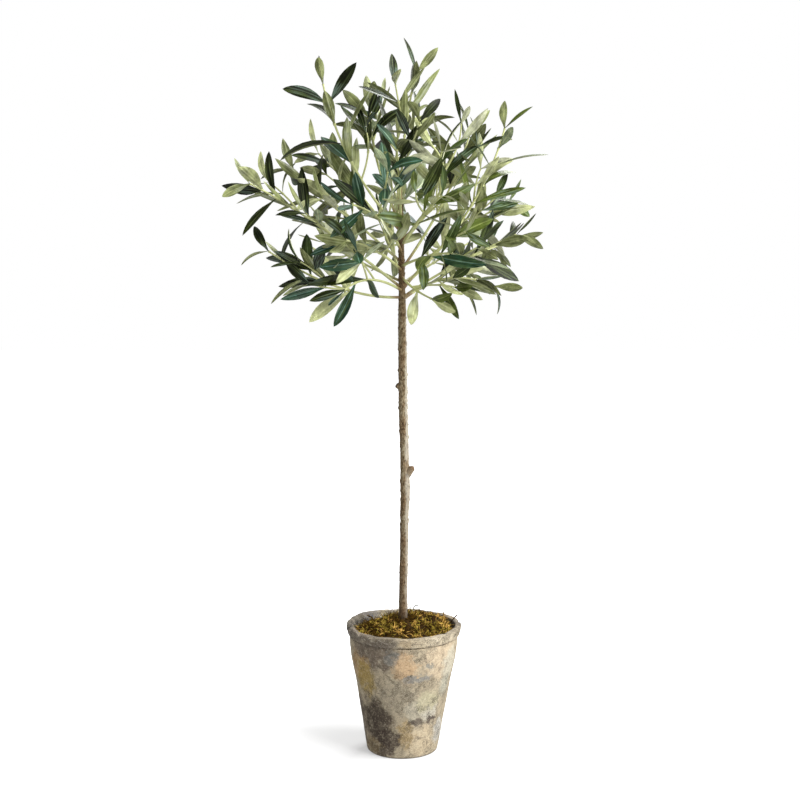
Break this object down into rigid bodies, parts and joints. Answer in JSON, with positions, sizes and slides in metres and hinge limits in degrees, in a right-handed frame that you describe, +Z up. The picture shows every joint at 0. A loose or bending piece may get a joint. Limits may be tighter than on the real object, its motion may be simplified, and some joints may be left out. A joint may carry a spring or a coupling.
{
  "type": "artificial potted olive tree",
  "caption": "Artificial olive standard: a slim bare trunk with a round open crown of narrow grey-green leaves, set in a tapering weathered clay pot topped with moss.",
  "frame": {"origin": "centre of the pot's flat underside", "axes": "+Z up along the trunk, +Y to the back, +X to the right of the front view"},
  "size_m": [0.3925, 0.3509, 0.8863],
  "materials": {
    "clay": "unglazed, weathered, matte",
    "filling": "cast plaster, matte",
    "moss": "dry, matte",
    "bark": "natural bark, rough",
    "shoot": "satin",
    "leaf": "coated cloth, satin"
  },
  "bodies": {
    "root": {"pot": "clay", "filling": "filling", "moss": "moss", "trunk": "bark", "bough_low_left": "shoot", "foliage_low_left": "leaf", "bough_long_left": "shoot", "foliage_long_left": "leaf", "bough_rising_left": "shoot", "foliage_rising_left": "leaf", "bough_top_left": "shoot", "foliage_top_left": "leaf", "bough_inner_left": "shoot", "foliage_inner_left": "leaf", "bough_top": "shoot", "foliage_top": "leaf", "bough_curling_right": "shoot", "foliage_curling_right": "leaf", "bough_upper_right": "shoot", "foliage_upper_right": "leaf", "bough_high_right": "shoot", "foliage_high_right": "leaf", "bough_middle_right": "shoot", "foliage_middle_right": "leaf", "bough_low_right": "shoot", "foliage_low_right": "leaf", "bough_lowest_right": "shoot", "foliage_lowest_right": "leaf", "bough_dropping_right": "shoot", "foliage_dropping_right": "leaf", "bough_front_drop": "shoot", "foliage_front_drop": "leaf", "bough_front_left": "shoot", "foliage_front_left": "leaf", "bough_front_right": "shoot", "foliage_front_right": "leaf", "bough_front_low": "shoot", "foliage_front_low": "leaf", "bough_front_top": "shoot", "foliage_front_top": "leaf", "bough_front_middle": "shoot", "foliage_front_middle": "leaf", "bough_back_low_left": "shoot", "foliage_back_low_left": "leaf", "bough_back_left": "shoot", "foliage_back_left": "leaf", "bough_back_low": "shoot", "foliage_back_low": "leaf", "bough_back_middle": "shoot", "foliage_back_middle": "leaf", "bough_back_top": "shoot", "foliage_back_top": "leaf", "bough_back_right": "shoot", "foliage_back_right": "leaf", "bough_back_low_right": "shoot", "foliage_back_low_right": "leaf"}
  },
  "joints": []
}
